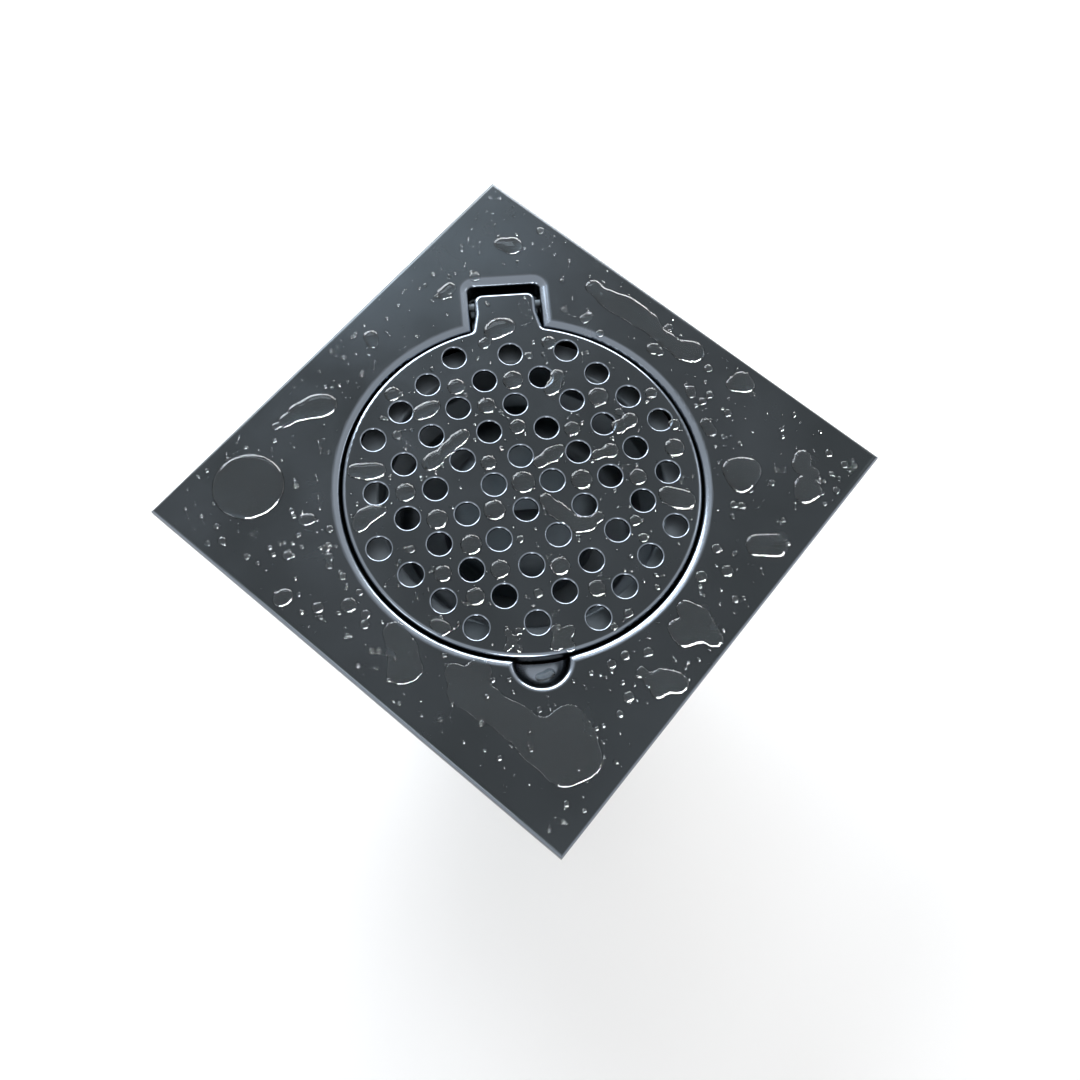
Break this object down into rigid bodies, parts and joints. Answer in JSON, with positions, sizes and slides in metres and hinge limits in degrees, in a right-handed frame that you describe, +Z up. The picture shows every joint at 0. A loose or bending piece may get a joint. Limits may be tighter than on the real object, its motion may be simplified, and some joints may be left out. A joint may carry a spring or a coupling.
{
  "type": "floor drain",
  "caption": "Square stainless floor drain: drawn frame plate with a hinged round perforated grate, lift-out bell trap and round outlet below.",
  "frame": {"origin": "centre of the outlet tube at its lower rim, which is the bottom centre of the whole drain", "axes": "+Z up through the drain; X and Y along the sides of the square plate, with the grate's hinge in the -X, +Y corner and the finger notch in the +X, -Y corner"},
  "size_m": [0.15, 0.15, 0.0827],
  "materials": {
    "plate_steel": "polished stainless sheet, wet",
    "grate_steel": "polished stainless sheet, wet",
    "pin_steel": "drawn stainless wire",
    "body_steel": "mill-finish stainless sheet",
    "trap_steel": "satin stainless sheet",
    "rubber": "matt moulded rubber",
    "water": "clear water drops"
  },
  "bodies": {
    "frame": {"frame_plate": "plate_steel", "hinge_pin": "pin_steel", "drain_body": "body_steel", "outlet_tube": "body_steel", "seal_ring": "rubber", "trap_bowl": "trap_steel", "trap_riser": "trap_steel", "bell": "trap_steel", "bell_rivets": "trap_steel", "bell_handle": "trap_steel", "bell_leg_1": "trap_steel", "bell_leg_2": "trap_steel", "bell_leg_3": "trap_steel", "anchor_1": "body_steel", "anchor_2": "body_steel", "anchor_3": "body_steel", "anchor_4": "body_steel"},
    "grate": {"grate": "grate_steel"}
  },
  "joints": [
    {"name": "grate_hinge", "type": "hinge", "parent": "frame", "child": "grate", "pos_m": [-0.04384, 0.04384, 0.0784], "axis": [-0.7071, -0.7071, 0], "range_deg": [0, 108]}
  ]
}
